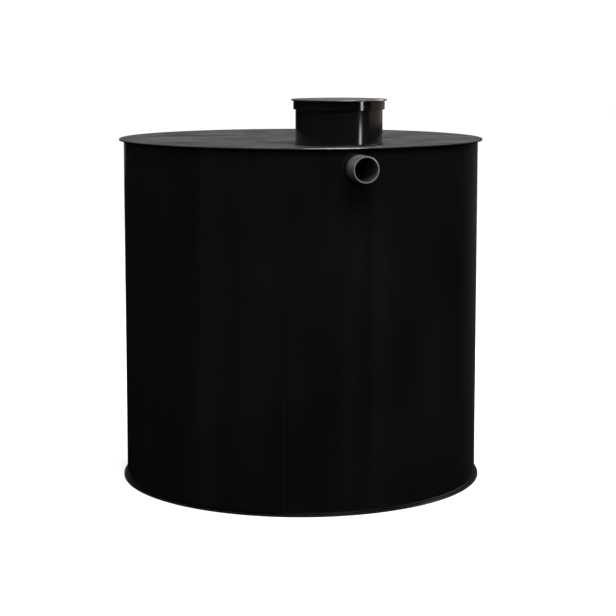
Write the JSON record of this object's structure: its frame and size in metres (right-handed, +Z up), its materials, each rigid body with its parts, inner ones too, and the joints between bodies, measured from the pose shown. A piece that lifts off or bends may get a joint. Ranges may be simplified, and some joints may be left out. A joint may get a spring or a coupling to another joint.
{
  "type": "septic tank",
  "caption": "Upright round septic tank of welded black plastic sheet, with overhanging end plates, a lidded neck near the edge and a grey inlet and outlet pipe.",
  "frame": {"origin": "centre of the underside of the bottom plate, where the tank stands", "axes": "+Z up, -Y out along the inlet pipe and towards the neck, +Y out along the outlet pipe, +X to the right when the inlet faces the viewer"},
  "size_m": [1.5998, 1.75, 1.6863],
  "materials": {
    "shell_black": "smooth extruded sheet, glossy",
    "plate_black": "scuffed sheet, satin",
    "weld_black": "extrusion weld bead",
    "lid_black": "dusty sheet, satin",
    "pipe_grey": "grey drain pipe, satin"
  },
  "bodies": {
    "tank": {"bottom_plate": "plate_black", "bottom_weld": "weld_black", "top_plate": "plate_black", "top_weld": "weld_black", "wall_front": "shell_black", "wall_front_right": "shell_black", "wall_right": "shell_black", "wall_back_right": "shell_black", "wall_back": "shell_black", "wall_back_left": "shell_black", "wall_left": "shell_black", "wall_front_left": "shell_black", "inlet_side_seam": "weld_black", "outlet_side_seam": "weld_black", "neck": "shell_black", "neck_weld": "weld_black", "inlet_pipe": "pipe_grey", "inlet_weld": "weld_black", "outlet_pipe": "pipe_grey", "outlet_weld": "weld_black"},
    "lid": {"lid_plate": "lid_black", "lid_skirt": "lid_black"}
  },
  "joints": [
    {"name": "lid_lift", "type": "slide", "parent": "tank", "child": "lid", "axis": [0, 0, 1], "range_m": [0, 0.45]}
  ]
}
